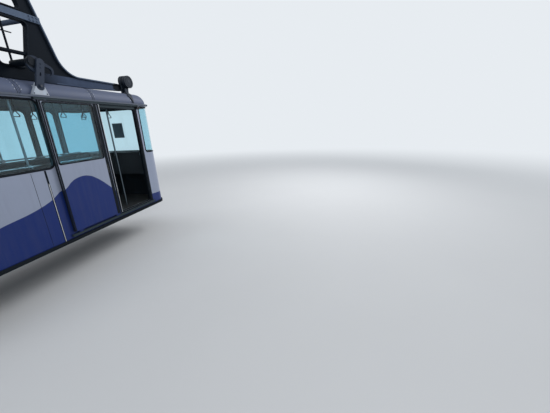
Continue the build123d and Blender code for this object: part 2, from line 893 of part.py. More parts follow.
# Bolsters, each with an eye for the haul rope's socket, clear of the outer wheels
haul_radius = 20
haul_clearance = 30
haul_x = bogie_x + wheel_base / 2 + wheel_radius + haul_clearance + haul_radius
haul_plate = 40
haul_eye = 48
with BuildPart() as bolsters:
    for end, way in ends:
        reach = rope_y + bogie_inner + bogie_plate + axle_end
        tube_between((way * bogie_x, -reach, bolster_z), (way * bogie_x, reach, bolster_z), bolster_radius)
        with BuildSketch(Plane.XZ):
            with Locations((way * (bogie_x + haul_x) / 2, bolster_z)):
                Rectangle(haul_x - bogie_x, 2 * haul_eye)
            with Locations((way * haul_x, bolster_z)):
                Circle(haul_eye)
                Circle(haul_radius, mode=Mode.SUBTRACT)
        extrude(amount=haul_plate / 2, both=True)
save(bolsters.part, "bolsters")

rocker_end = 600
rocker_top = 190
rocker_eye = 70
spacer_x = 250
spacer_z = 125
spacer_radius = 30
with BuildPart() as rocker:
    for face in (-1, 1):
        with BuildSketch(Plane.XZ.offset(face * (rocker_gap + rocker_plate / 2))):
            with BuildLine():
                FilletPolyline(
                    (-rocker_end, rocker_top),
                    (rocker_end, rocker_top),
                    (rocker_end, bolster_z - rocker_eye),
                    (boss_radius + rocker_plate, at(pin_level) - boss_radius),
                    (-boss_radius - rocker_plate, at(pin_level) - boss_radius),
                    (-rocker_end, bolster_z - rocker_eye),
                    radius=rocker_eye,
                    close=True,
                )
            make_face()
            with Locations((0, at(pin_level))):
                Circle(pin_radius + shaft_gap, mode=Mode.SUBTRACT)
            with Locations([(way * bogie_x, bolster_z) for end, way in ends]):
                Circle(bolster_radius + shaft_gap, mode=Mode.SUBTRACT)
        extrude(amount=rocker_plate / 2, both=True)
    for end, way in ends:
        x = way * spacer_x
        tube_between((x, -rocker_gap, spacer_z), (x, rocker_gap, spacer_z), spacer_radius)
save(rocker.part, "main_rocker")

pin_head = 15
pin_head_radius = 62
with BuildPart() as pin:
    reach = rocker_gap + rocker_plate + pin_head
    tube_between((0, -reach, at(pin_level)), (0, reach, at(pin_level)), pin_radius)
    for face in (-1, 1):
        start = (0, face * (reach - pin_head), at(pin_level))
        tube_between(start, (0, face * reach, at(pin_level)), pin_head_radius)
save(pin.part, "hanger_pin")
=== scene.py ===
import bpy
import bmesh
import math
import numpy as np
from mathutils import Matrix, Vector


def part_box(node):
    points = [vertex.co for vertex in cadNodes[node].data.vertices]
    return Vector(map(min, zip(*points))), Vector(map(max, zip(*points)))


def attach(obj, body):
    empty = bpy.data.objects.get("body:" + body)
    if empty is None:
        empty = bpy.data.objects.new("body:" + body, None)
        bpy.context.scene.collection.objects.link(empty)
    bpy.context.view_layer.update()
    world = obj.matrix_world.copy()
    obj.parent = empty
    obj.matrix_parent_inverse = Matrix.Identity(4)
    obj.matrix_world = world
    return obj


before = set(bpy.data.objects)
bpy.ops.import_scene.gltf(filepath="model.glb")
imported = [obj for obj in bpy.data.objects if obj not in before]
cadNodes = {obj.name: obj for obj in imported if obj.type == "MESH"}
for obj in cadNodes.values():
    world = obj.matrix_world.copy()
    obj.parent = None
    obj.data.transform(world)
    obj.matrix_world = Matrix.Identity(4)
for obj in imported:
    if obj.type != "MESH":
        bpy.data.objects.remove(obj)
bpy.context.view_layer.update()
print("frame loaded:", len(cadNodes), "CAD nodes")

# Heights here are levels above the cabin floor, in metres
ropeLevel = 5.75
halfLength = 2.67
halfWidth = 1.075
cornerRadius = 0.3
wallThickness = 0.06
hangerY = 0.675
# Signs along Y. The far side is the platform side turned half round, so its X runs the other way.
sideSigns = {"platform": -1, "far": 1}
endSigns = {"valley": 1, "uphill": -1}
bothWays = (-1, 1)


def toZ(level):
    return level - ropeLevel


def span(sign, first, second):
    # two places along a side as low and high X
    return sorted((-sign * first, -sign * second))


def newObject(name, data):
    made = bpy.data.objects.new(name, data)
    bpy.context.scene.collection.objects.link(made)
    return made


# Node helpers

def feed(tree, socket, value):
    # value is another node's output, a colour or a constant
    if isinstance(value, bpy.types.NodeSocket):
        tree.links.new(value, socket)
    else:
        socket.default_value = tuple(value)[:3] + (1,) if socket.type == "RGBA" else value


def addNode(tree, kind, inputs=None, **settings):
    node = tree.nodes.new("ShaderNode" + kind)
    for key, value in settings.items():
        setattr(node, key, value)
    for key, value in (inputs or {}).items():
        feed(tree, node.inputs[key], value)
    return node


def operation(kind):
    # a function that adds one Math node of this kind to a tree
    def made(tree, *values, clamp=False):
        inputs = dict(enumerate(values))
        return addNode(tree, "Math", inputs, operation=kind, use_clamp=clamp).outputs[0]
    return made


plus, minus, times, power = (operation(kind) for kind in ("ADD", "SUBTRACT", "MULTIPLY", "POWER"))
larger, root, absolute, signOf = (operation(kind) for kind in ("MAXIMUM", "SQRT", "ABSOLUTE", "SIGN"))


def mapRange(tree, value, low, high, toLow=0.0, toHigh=1.0, smooth=False):
    kind = "SMOOTHSTEP" if smooth else "LINEAR"
    inputs = {0: value, 1: low, 2: high, 3: toLow, 4: toHigh}
    return addNode(tree, "MapRange", inputs, interpolation_type=kind).outputs[0]


def past(tree, value, edge, blur):
    # 0 before the edge and 1 past it, over twice the blur; a negative blur turns it round
    return mapRange(tree, value, edge - blur, edge + blur)


def awayFrom(tree, value, middle=0.0):
    return absolute(tree, minus(tree, value, middle))


def radial(tree, first, second):
    # distance in a plane from its two coordinates
    squares = [power(tree, value, 2.0) for value in (first, second)]
    return root(tree, plus(tree, *squares))


def mixColor(tree, factor, first, second):
    return addNode(tree, "Mix", {0: factor, 6: first, 7: second}, data_type="RGBA").outputs[2]


def mixShader(tree, factor, first, second, target):
    mix = addNode(tree, "MixShader", {0: factor, 1: first.outputs[0], 2: second.outputs[0]})
    feed(tree, tree.nodes[target].inputs[0], mix.outputs[0])


def stretched(tree, vector, scale):
    return addNode(tree, "Mapping", {"Vector": vector, "Scale": scale}).outputs[0]


def scaled(tree, vector, factor):
    return addNode(tree, "VectorMath", {0: vector, "Scale": factor}, operation="SCALE").outputs[0]


def noise(tree, vector, scale, detail=3.0, roughness=0.55):
    inputs = {"Vector": vector, "Scale": scale, "Detail": detail, "Roughness": roughness}
    return addNode(tree, "TexNoise", inputs).outputs["Fac"]


def split(tree, vector):
    return addNode(tree, "SeparateXYZ", {0: vector}).outputs


def facing(tree):
    # the true normal's coordinates
    return split(tree, addNode(tree, "NewGeometry").outputs["Normal"])


def newGroup(name, inputs, outputs):
    # inputs and outputs are (name, socket kind) rows, with a default for some
    tree = bpy.data.node_groups.new(name, "ShaderNodeTree")
    for direction, rows in (("INPUT", inputs), ("OUTPUT", outputs)):
        for label, kind, *default in rows:
            socket = tree.interface.new_socket(label, in_out=direction, socket_type="NodeSocket" + kind)
            if default:
                socket.default_value = default[0]
    return tree, tree.nodes.new("NodeGroupInput").outputs, tree.nodes.new("NodeGroupOutput").inputs


# Shared effects

# Mottle: the base colour times a cloudy value around 1. Streaks: noise stretched downwards,
# cut to its top part, mixes in the dirt colour. Height is a fine grain.
weathering, given, result = newGroup("weathering", [
    ("Vector", "Vector"), ("Color", "Color", (0.5, 0.5, 0.5, 1)), ("Scale", "Float", 2.0),
    ("Mottle", "Float", 0.06), ("Dirt Color", "Color", (0.12, 0.11, 0.1, 1)), ("Streaks", "Float", 0.25),
    ("Roughness", "Float", 0.4), ("Spread", "Float", 0.15), ("Grain", "Float", 300.0)],
    [("Color", "Color"), ("Roughness", "Float"), ("Height", "Float")])
tree = weathering
broad = noise(tree, given["Vector"], 1.0, 5.0)
place = scaled(tree, given["Vector"], given["Scale"])
cloud = noise(tree, place, 1.0, 6.0)
swing = minus(tree, cloud, 0.5)
mottle = times(tree, times(tree, swing, given["Mottle"]), 2.0)
toned = scaled(tree, given["Color"], plus(tree, 1.0, mottle))
streak = noise(tree, stretched(tree, place, (9, 9, 0.7)), 1.0, 4.0, 0.6)
streak = times(tree, streak, plus(tree, broad, 0.5))
stain = times(tree, mapRange(tree, streak, 0.42, 0.8), given["Streaks"], clamp=True)
feed(tree, result["Color"], mixColor(tree, stain, toned, given["Dirt Color"]))
rough = times(tree, plus(tree, swing, stain), given["Spread"])
feed(tree, result["Roughness"], plus(tree, given["Roughness"], rough, clamp=True))
feed(tree, result["Height"], noise(tree, scaled(tree, given["Vector"], given["Grain"]), 1.0, 2.0))

# Edge wear: 1 less the dot product of the surface normal and the rounded (bevelled) normal,
# broken up by noise. Normal is the rounded one, which catches the light along edges.
edgeWear, given, result = newGroup("edgeWear", [
    ("Vector", "Vector"), ("Wear", "Float", 0.6), ("Patch Scale", "Float", 9.0)],
    [("Mask", "Float"), ("Normal", "Vector")])
tree = edgeWear
rounded = addNode(tree, "Bevel", {"Radius": 0.004}, samples=4).outputs[0]
flat = addNode(tree, "NewGeometry").outputs["Normal"]
dot = addNode(tree, "VectorMath", {0: rounded, 1: flat}, operation="DOT_PRODUCT").outputs["Value"]
edge = mapRange(tree, minus(tree, 1.0, dot), 0.02, 0.25)
worn = noise(tree, scaled(tree, given["Vector"], given["Patch Scale"]), 1.0, 5.0, 0.65)
patches = times(tree, edge, mapRange(tree, worn, 0.42, 0.62))
feed(tree, result["Mask"], times(tree, patches, given["Wear"], clamp=True))
feed(tree, result["Normal"], rounded)

# Dust: where the surface faces up, broken by noise
settledDust, given, result = newGroup("settledDust", [
    ("Vector", "Vector"), ("Amount", "Float", 0.5)], [("Mask", "Float")])
tree = settledDust
upward = mapRange(tree, facing(tree)["Z"], 0.35, 1.0)
cover = mapRange(tree, noise(tree, given["Vector"], 3.5, 6.0, 0.6), 0.3, 0.75)
dusted = times(tree, upward, cover)
feed(tree, result["Mask"], times(tree, dusted, given["Amount"], clamp=True))

# Brushing: noise drawn out along one axis, as the Stretch vector says
brushing, given, result = newGroup("brushing", [
    ("Vector", "Vector"), ("Stretch", "Vector", (4, 400, 400)), ("Roughness", "Float", 0.3),
    ("Depth", "Float", 0.12)], [("Roughness", "Float"), ("Height", "Float")])
tree = brushing
drawn = addNode(tree, "VectorMath", {0: given["Vector"], 1: given["Stretch"]}, operation="MULTIPLY")
lines = noise(tree, drawn.outputs[0], 1.0, 3.0)
depth = times(tree, minus(tree, lines, 0.5), given["Depth"])
feed(tree, result["Roughness"], plus(tree, given["Roughness"], depth))
feed(tree, result["Height"], lines)


# Materials

materials = {}


def startMaterial(name, roughness, metallic=0.0, coat=0.0, specular=0.5):
    material = materials[name] = bpy.data.materials.new(name)
    material.use_nodes = True
    tree = material.node_tree
    shader = tree.nodes["Principled BSDF"]
    for key, value in {"Roughness": roughness, "Metallic": metallic, "Coat Weight": coat,
                       "Coat Roughness": 0.12, "Specular IOR Level": specular}.items():
        shader.inputs[key].default_value = value
    return tree, shader, addNode(tree, "TexCoord").outputs["Object"]


def useGroup(tree, group, place, **values):
    inputs = {key.replace("_", " "): value for key, value in values.items()}
    return addNode(tree, "Group", {"Vector": place, **inputs}, node_tree=group).outputs


def finishSurface(tree, shader, color, roughness, height, strength, distance, normal=None):
    bump = addNode(tree, "Bump", {"Strength": strength, "Distance": distance, "Height": height})
    if normal is not None:
        feed(tree, bump.inputs["Normal"], normal)
    for key, value in (("Base Color", color), ("Roughness", roughness), ("Normal", bump.outputs[0])):
        feed(tree, shader.inputs[key], value)


def paintMaterial(name, color, dirt=(0.1, 0.1, 0.1), mottle=0.05, streaks=0.2, roughness=0.5, coat=0.0,
                  specular=0.3, wear=0.0, wornColor=(0.35, 0.36, 0.38), dusty=0.0,
                  dustColor=(0.33, 0.32, 0.3), grain=260.0, bump=0.05, recolor=None):
    # recolor(tree, place, color) may lay a second colour over the first before wear and dust
    tree, shader, place = startMaterial(name, roughness, 0.0, coat, specular)
    base = color if recolor is None else recolor(tree, place, color)
    body = useGroup(tree, weathering, place, Color=base, Mottle=mottle, Streaks=streaks, Dirt_Color=dirt,
                    Roughness=roughness, Grain=grain)
    painted = body["Color"]
    normal = None
    if wear > 0:
        edges = useGroup(tree, edgeWear, place, Wear=wear)
        painted = mixColor(tree, edges["Mask"], painted, wornColor)
        normal = edges["Normal"]
    if dusty > 0:
        painted = mixColor(tree, useGroup(tree, settledDust, place, Amount=dusty)["Mask"], painted, dustColor)
    finishSurface(tree, shader, painted, body["Roughness"], body["Height"], bump, 0.0006, normal)


liveryAndShade = {
    # the leaves' upright edge colour is painted shade
    "silver": (0.262, 0.297, 0.388), "blue": (0.006, 0.021, 0.128), "leafEdgeShade": (0.008, 0.011, 0.016),
    # the room side's colours are painted shade of the unlit cabin: near black below the sills, less dark on
    # the pillars above them
    "inside": (0.014, 0.019, 0.025), "insidePillars": (0.08, 0.104, 0.122), "pillarsFrom": 1.19,
    "roomDepth": 0.035,  # the lining's colour starts this far in from the walls' face
    "leafMiddle": 0.029,  # and on a leaf this far out from the wall
    "farShift": -1.085,  # a shut leaf carries the pattern that it has when open
    # the blue's upper edge, as (x, level) points along the platform side, on the walls and on the open leaf
    "wallEdge": [(-2.67, 0.13), (-1.9, 0.28), (-1.14, 0.49), (-0.68, 0.57), (-0.33, 0.68), (-0.24, 0.735),
                 (-0.135, 0.79), (0.06, 0.82), (0.5, 0.8), (0.95, 0.79), (1.05, 0.77), (1.8, 0.2),
                 (2.1, 0.15), (2.67, 0.13)],
    "leafEdge": [(-2.67, 0.7), (-0.33, 0.7), (-0.24, 0.735), (-0.06, 0.83), (0.06, 0.915), (0.17, 0.955),
                 (0.3, 0.97), (0.42, 0.95), (0.55, 0.885), (0.68, 0.79), (0.8, 0.68), (0.93, 0.55),
                 (1.02, 0.45), (1.3, 0.2), (2.67, 0.13)],
    "finish": {"streaks": 0.1, "coat": 0.08, "roughness": 0.36, "specular": 0.2},
}


def insideMask(tree, axes):
    # 1 on the room side of the walls: distance to their rounded outline seen from above, negative inwards
    inner = [larger(tree, minus(tree, awayFrom(tree, axes[axis]), half - cornerRadius), 0.0)
             for axis, half in (("X", halfLength), ("Y", halfWidth))]
    distance = minus(tree, radial(tree, *inner), cornerRadius)
    return past(tree, distance, -liveryAndShade["roomDepth"], -0.001)


def liveryAndShadeColors(shift, doorLeaf):
    def lay(tree, place, color):
        axes = split(tree, place)
        # the far side is the platform side turned half round
        heading = times(tree, signOf(tree, axes["Y"]), -1.0)
        along = plus(tree, times(tree, axes["X"], heading), shift)
        along = mapRange(tree, along, -halfLength, halfLength)
        edgeNode = addNode(tree, "FloatCurve", {"Value": along})
        curve = edgeNode.mapping.curves[0]
        edge = liveryAndShade["leafEdge" if doorLeaf else "wallEdge"]
        while len(curve.points) < len(edge):
            curve.points.new(0.5, 0.5)
        for point, (x, level) in zip(curve.points, edge):
            point.location = ((x + halfLength) / (2 * halfLength), level)
        edgeNode.mapping.update()
        height = plus(tree, axes["Z"], ropeLevel)
        below = minus(tree, edgeNode.outputs[0], height)
        outside = mixColor(tree, past(tree, below, 0.0, 0.0015), color, liveryAndShade["blue"])
        if doorLeaf:
            room = past(tree, awayFrom(tree, axes["Y"]), halfWidth + liveryAndShade["leafMiddle"], -0.001)
        else:
            room = insideMask(tree, axes)
        # painted shade on the room side: near black below the sills, less dark above
        pillars = past(tree, height, liveryAndShade["pillarsFrom"], 0.002)
        lining = mixColor(tree, pillars, liveryAndShade["inside"], liveryAndShade["insidePillars"])
        painted = mixColor(tree, room, outside, lining)
        if not doorLeaf:
            return painted
        # a leaf's upright edge faces are painted dark, as painted shade
        edgewise = past(tree, awayFrom(tree, facing(tree)["X"]), 0.7, 0.1)
        return mixColor(tree, edgewise, painted, liveryAndShade["leafEdgeShade"])
    return lay


for name, shift, doorLeaf in (("bodyPaint", 0.0, False), ("doorPaint", 0.0, True),
                              ("farDoorPaint", liveryAndShade["farShift"], True)):
    paintMaterial(name, liveryAndShade["silver"], recolor=liveryAndShadeColors(shift, doorLeaf), **liveryAndShade["finish"])


def roofColors(tree, place, color):
    # the ceiling is a colour of its own
    return mixColor(tree, past(tree, facing(tree)["Z"], -0.035, -0.015), color, (0.12, 0.135, 0.15))


# the roof's colour is darkened well below the body's silver, as painted shade
paintMaterial("roofPaint", (0.073, 0.093, 0.156), mottle=0.07, dusty=0.12, dustColor=(0.2, 0.21, 0.24),
              roughness=0.48, specular=0.15, recolor=roofColors)

hangerLightAndShade = {
    # painted light and shade: the legs near black as painted shade, the arms lighter as painted light, the
    # flange sides between, and the outer flange's edge face lightest as painted highlight
    "leg": (0.005, 0.008, 0.013), "arm": (0.05, 0.07, 0.118), "flange": (0.034, 0.047, 0.072),
    "lip": (0.085, 0.115, 0.17),
    "armTop": 2.761, "armFrom": 0.6, "armTip": 2.0,  # the arms are lighter under this level, between these X
    "lipFrom": 0.044, "flangeFrom": 0.01175,  # distances from the web's middle
    # three quarters of a leg's half width at the level of its foot and of its head
    "legLevels": (2.785, 4.9), "legHalves": (0.63, 0.17), "bandLevel": 3.585, "bandHalf": 0.05075,
}


def hangerShade(tree, place, color):
    # painted light and shade: the legs stay near black as painted shade, the long arms lighter as painted
    # light; the outer flange and the cross band are a painted highlight against the web and the openings'
    # rims
    tones = hangerLightAndShade
    axes = split(tree, place)
    alongX = awayFrom(tree, axes["X"])
    above = past(tree, axes["Z"], toZ(tones["armTop"]), 0.004)
    arm = times(tree, minus(tree, 1.0, above), past(tree, alongX, tones["armFrom"], 0.3))
    fromWeb = awayFrom(tree, awayFrom(tree, axes["Y"]), hangerY)
    lip = mixColor(tree, past(tree, fromWeb, tones["lipFrom"], 0.0005), tones["flange"], tones["lip"])
    foot, head = tones["legLevels"]
    inner = mapRange(tree, axes["Z"], toZ(foot), toZ(head), *tones["legHalves"])
    outer = past(tree, minus(tree, alongX, inner), 0.0, 0.002)
    band = past(tree, awayFrom(tree, axes["Z"], toZ(tones["bandLevel"])), tones["bandHalf"], -0.00025)
    flanges = times(tree, past(tree, fromWeb, tones["flangeFrom"], 0.00075), larger(tree, outer, band))
    shaded = mixColor(tree, arm, mixColor(tree, flanges, color, lip), tones["arm"])
    # the ends beside the dampers are as dark as the legs
    return mixColor(tree, past(tree, alongX, tones["armTip"], 0.02), shaded, color)


slingTones = {
    "stub": (-0.034, 2.812), "stubRadius": 0.082,  # x and level of the dark end round the stub
    "pinsFrom": 0.0515, "pin": (0.02, 0.028, 0.046),  # the bracket's pins stand further out than this
    "finish": {"wear": 0.6, "wornColor": (0.13, 0.16, 0.21), "mottle": 0.08, "roughness": 0.55,
               "dirt": (0.02, 0.024, 0.03)},
}


def ringColors(tree, place, color):
    # the stub and the ring's end round it are painted as dark as the legs, as painted shade
    axes = split(tree, place)
    x, level = slingTones["stub"]
    away = radial(tree, minus(tree, axes["X"], x), minus(tree, axes["Z"], toZ(level)))
    return mixColor(tree, past(tree, away, slingTones["stubRadius"], -0.001), color, hangerLightAndShade["leg"])


def bracketColors(tree, place, color):
    # the pins are as dark as the straps on them
    proud = minus(tree, awayFrom(tree, split(tree, place)["Y"]), halfWidth)
    return mixColor(tree, past(tree, proud, slingTones["pinsFrom"], 0.0005), color, slingTones["pin"])


paints = {
    "hangerPaint": dict(
        # the base colour is the legs' painted shade
        color=hangerLightAndShade["leg"], mottle=0.12, streaks=0.12, dirt=(0.012, 0.016, 0.022), roughness=0.62,
        specular=0.04, wear=0.7, wornColor=(0.09, 0.12, 0.17), dusty=0.08, dustColor=(0.08, 0.09, 0.11),
        grain=180.0, bump=0.1, recolor=hangerShade),
    "bandPaint": dict(
        color=(0.014, 0.021, 0.034), mottle=0.1, streaks=0.15, dirt=(0.03, 0.033, 0.038), roughness=0.55,
        specular=0.15, wear=0.6, wornColor=(0.09, 0.11, 0.14)),
    "drumPaint": dict(
        color=(0.013, 0.019, 0.03), mottle=0.15, dirt=(0.03, 0.034, 0.042), roughness=0.6, specular=0.15,
        dusty=0.15, dustColor=(0.07, 0.08, 0.095)),
    "gutterPaint": dict(
        color=(0.082, 0.1, 0.135), mottle=0.07, streaks=0.3, roughness=0.48, specular=0.15, wear=0.3),
    "ringPaint": dict(color=(0.02, 0.029, 0.049), specular=0.08, recolor=ringColors, **slingTones["finish"]),
    "slingPaint": dict(color=(0.024, 0.034, 0.056), specular=0.1, **slingTones["finish"]),
    "bracketPaint": dict(
        color=(0.36, 0.41, 0.48), streaks=0.3, dirt=(0.22, 0.15, 0.1), roughness=0.38, coat=0.25, wear=0.35,
        wornColor=(0.25, 0.2, 0.17), recolor=bracketColors),
    "carriagePaint": dict(
        color=(0.07, 0.095, 0.14), mottle=0.12, streaks=0.3, dirt=(0.03, 0.027, 0.022), roughness=0.45,
        coat=0.25, wear=0.8, wornColor=(0.24, 0.25, 0.27), dusty=0.2, grain=180.0, bump=0.1),
    "underframePaint": dict(
        color=(0.045, 0.05, 0.058), mottle=0.2, streaks=0.4, dirt=(0.1, 0.085, 0.065), roughness=0.6,
        wear=0.4, wornColor=(0.17, 0.13, 0.1), bump=0.15),
    "blackRubber": dict(
        color=(0.006, 0.009, 0.013), mottle=0.2, streaks=0.15, dirt=(0.015, 0.018, 0.022), roughness=0.62,
        specular=0.08, dusty=0.1, dustColor=(0.04, 0.044, 0.05), grain=520.0, bump=0.2),
    "consolePanel": dict(
        color=(0.032, 0.038, 0.046), mottle=0.08, streaks=0.05, roughness=0.45, coat=0.05, dusty=0.1,
        dustColor=(0.12, 0.12, 0.12), grain=900.0, bump=0.25),
    "blackPlastic": dict(color=(0.018, 0.018, 0.02), mottle=0.1, streaks=0.05, grain=900.0, bump=0.2),
    "revealPaint": dict(color=(0.055, 0.075, 0.088), mottle=0.08, streaks=0.05, specular=0.2),
    "ceilingPanel": dict(color=(0.2, 0.21, 0.225), streaks=0.05, grain=700.0, bump=0.1),
    "headerPaint": dict(
        color=(0.024, 0.038, 0.046), mottle=0.07, dirt=(0.03, 0.036, 0.042), specular=0.12, wear=0.3),
    "signPlate": dict(color=(0.1, 0.15, 0.19), streaks=0.04, roughness=0.4, coat=0.1),
    "wheelPaint": dict(
        color=(0.035, 0.042, 0.052), mottle=0.2, streaks=0.35, dirt=(0.02, 0.018, 0.014), coat=0.25,
        wear=0.6, wornColor=(0.2, 0.2, 0.21), grain=120.0, bump=0.2),
}
for name, settings in paints.items():
    paintMaterial(name, **settings)


def metalMaterial(name, color, stretch, roughness=0.3, stains=0.12, stain=(0.1, 0.09, 0.08)):
    tree, shader, place = startMaterial(name, roughness, 1.0)
    lines = useGroup(tree, brushing, place, Stretch=stretch, Roughness=roughness)
    body = useGroup(tree, weathering, place, Color=color, Mottle=0.1, Streaks=stains, Dirt_Color=stain)
    finishSurface(tree, shader, body["Color"], lines["Roughness"], lines["Height"], 0.06, 0.0004)


metalMaterial("aluminiumTrim", (0.52, 0.54, 0.57), (5, 500, 500), 0.32)
metalMaterial("uprightTrim", (0.66, 0.68, 0.71), (500, 500, 5), 0.26)
metalMaterial("railMetal", (0.2, 0.22, 0.24), (4, 420, 420), 0.3)
metalMaterial("poleMetal", (0.11, 0.14, 0.165), (420, 420, 4), 0.32)
metalMaterial("bareSteel", (0.33, 0.335, 0.345), (300, 5, 300), 0.33, 0.35, (0.06, 0.05, 0.04))
metalMaterial("zincBolts", (0.42, 0.43, 0.45), (60, 60, 60), 0.38, 0.3, (0.12, 0.09, 0.07))

glass = {"tint": (0.58, 0.8, 0.87), "clear": (0.78, 0.9, 0.92), "ior": 1.35, "film": (0.6, 0.66, 0.66)}
tree, shader, place = startMaterial("tintedGlass", 0.02)
shader.inputs["Transmission Weight"].default_value = 1.0
shader.inputs["IOR"].default_value = glass["ior"]
film = useGroup(tree, weathering, place, Color=glass["tint"], Mottle=0.03, Streaks=0.04,
                Dirt_Color=glass["film"], Roughness=0.015, Spread=0.05)
feed(tree, shader.inputs["Base Color"], film["Color"])
feed(tree, shader.inputs["Roughness"], film["Roughness"])
# clear to shadow rays, so that daylight reaches the cabin
clear = addNode(tree, "BsdfTransparent", {"Color": glass["clear"]})
shadowRays = addNode(tree, "LightPath").outputs["Is Shadow Ray"]
mixShader(tree, shadowRays, shader, clear, "Material Output")

# Floor: round studs every 25 mm, a Voronoi pattern with no randomness on the flat coordinates
tree, shader, place = startMaterial("floorRubber", 0.6, specular=0.15)
inputs = {"Vector": stretched(tree, place, (1, 1, 0)), "Scale": 40.0, "Randomness": 0.0}
studs = addNode(tree, "TexVoronoi", inputs, voronoi_dimensions="2D")
raised = mapRange(tree, studs.outputs["Distance"], 0.4, 0.3, smooth=True)
body = useGroup(tree, weathering, place, Color=(0.022, 0.023, 0.025), Mottle=0.2, Streaks=0.3,
                Dirt_Color=(0.07, 0.066, 0.06), Roughness=0.55)
finishSurface(tree, shader, body["Color"], body["Roughness"], raised, 0.06, 0.0015)

tree, shader, place = startMaterial("lampDiffuser", 0.5)
ribs = noise(tree, stretched(tree, place, (2, 300, 2)), 1.0, 1.0)
feed(tree, shader.inputs["Base Color"], mixColor(tree, ribs, (0.62, 0.64, 0.64), (0.72, 0.73, 0.72)))
print("materials ready:", len(materials))


def roundEdges(thing, width, segments):
    modifier = thing.modifiers.new("edges", "BEVEL")
    modifier.width, modifier.segments, modifier.limit_method = width, segments, "ANGLE"


# each material's CAD nodes, by the start of their names; the longest start that fits counts
nodeMaterials = {
    "bodyPaint": ["side_wall", "end_wall"], "doorPaint": ["door_leaf_platform"],
    "farDoorPaint": ["door_leaf_far"], "roofPaint": ["roof_"], "gutterPaint": ["gutter"],
    "tintedGlass": ["side_glass", "end_glass", "door_glass"], "headerPaint": ["door_rails"],
    "floorRubber": ["floor"], "underframePaint": ["underframe"], "blackRubber": ["buffer_strip"],
    "drumPaint": ["damper_drums"], "consolePanel": ["consoles"], "poleMetal": ["door_poles"],
    "railMetal": ["handrails", "end_rails"], "blackPlastic": ["hanging_rings"],
    "hangerPaint": ["hanger_frame", "head_beam", "hanger_ties"], "slingPaint": ["sling_"],
    "ringPaint": ["sling_rings"], "bandPaint": ["hold_down"], "bracketPaint": ["roof_brackets"],
    "carriagePaint": ["main_rocker", "bogie_plates"], "bareSteel": ["bolsters", "wheel_axles", "hanger_pin"],
    "wheelPaint": ["wheel_"],
}
nodeStarts = {start: name for name, starts in nodeMaterials.items() for start in starts}
# edge rounding in metres, for solids whose plain edges show
nodeBevels = {"hanging_rings": 0.0045, "consoles": 0.012, "sling_": 0.003, "roof_brackets": 0.002,
              "head_beam": 0.004, "hold_down": 0.003, "damper_drums": 0.028}
for name, cadObject in cadNodes.items():
    longest = max((start for start in nodeStarts if name.startswith(start)), key=len)
    cadObject.data.materials.clear()
    cadObject.data.materials.append(materials[nodeStarts[longest]])
    for start, width in nodeBevels.items():
        if name.startswith(start):
            roundEdges(cadObject, width, 3)


# Surfaces worked out with numpy

def gridFaces(rows, columns, closeRows=False):
    # four corners of each cell of a grid of points numbered row by row, closed across its columns
    r = np.arange(rows if closeRows else rows - 1)
    r, c = (a.ravel() for a in np.meshgrid(r, np.arange(columns), indexing="ij"))
    rNext, cNext = (r + 1) % rows, (c + 1) % columns
    return np.stack([r * columns + c, rNext * columns + c, rNext * columns + cNext, r * columns + cNext], 1)


def unit(vectors):
    vectors = np.asarray(vectors, float)
    return vectors / np.maximum(np.linalg.norm(vectors, axis=-1, keepdims=True), 1e-12)


sharpAngle = math.radians(38)


class Build:
    # gathers point grids, then makes one mesh of them
    def __init__(self):
        self.points, self.faces, self.count = [], [], 0

    def add(self, points, faces):
        points = np.asarray(points, float).reshape(-1, 3)
        self.points.append(points)
        self.faces.append(np.asarray(faces) + self.count)
        self.count += len(points)

    def piece(self, name, material, body="cabin", smooth=True, bevel=0.0):
        points, faces = np.concatenate(self.points), np.concatenate(self.faces)
        mesh = bpy.data.meshes.new(name)
        mesh.from_pydata(points.tolist(), [], faces.tolist())
        work = bmesh.new()
        work.from_mesh(mesh)
        bmesh.ops.remove_doubles(work, verts=work.verts, dist=1e-6)
        bmesh.ops.recalc_face_normals(work, faces=work.faces)
        work.to_mesh(mesh)
        work.free()
        mesh.polygons.foreach_set("use_smooth", np.full(len(mesh.polygons), smooth))
        if smooth:
            mesh.set_sharp_from_angle(angle=sharpAngle)
        made = newObject(name, mesh)
        mesh.materials.append(materials[material])
        if bevel:
            roundEdges(made, bevel, 2)
        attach(made, body)


def addSweep(build, path, first, second, profile):
    # point(i, j) = path(i) + profile(j).x * first(i) + profile(j).y * second(i), capped at both ends by
    # closing the profile to its middle; first and second may be one direction for the whole path
    path, profile = np.asarray(path, float), np.asarray(profile, float)
    first, second = (np.broadcast_to(np.asarray(a, float), path.shape) for a in (first, second))
    rows = path[:, None] + profile[None, :, :1] * first[:, None] + profile[None, :, 1:] * second[:, None]
    start, stop = (np.repeat(row.mean(1, keepdims=True), len(profile), 1) for row in (rows[:1], rows[-1:]))
    rows = np.concatenate([start, rows, stop])
    build.add(rows, gridFaces(len(rows), len(profile)))


def addBox(build, low, high):
    # a rectangle swept from the low end to the high end
    low, high = np.asarray(low, float), np.asarray(high, float)
    middle, size = (low + high) / 2, high - low
    profile = np.array([(-1, -1), (1, -1), (1, 1), (-1, 1)]) / 2 * size[1:]
    addSweep(build, [(x, middle[1], middle[2]) for x in (low[0], high[0])], (0, 1, 0), (0, 0, 1), profile)


def addSidePieces(side, table, start=0.0, body="cabin"):
    # boxes on a side wall, each (places along it from the start, distances out from it, levels)
    sign = sideSigns[side]
    for name, (material, bevel, boxes) in table.items():
        build = Build()
        for (first, second), out, levels in boxes:
            low, high = span(sign, start + first, start + second)
            near, far = sorted(sign * (halfWidth + distance) for distance in out)
            addBox(build, (low, near, toZ(levels[0])), (high, far, toZ(levels[1])))
        build.piece(name + side, material, body, smooth=False, bevel=bevel)


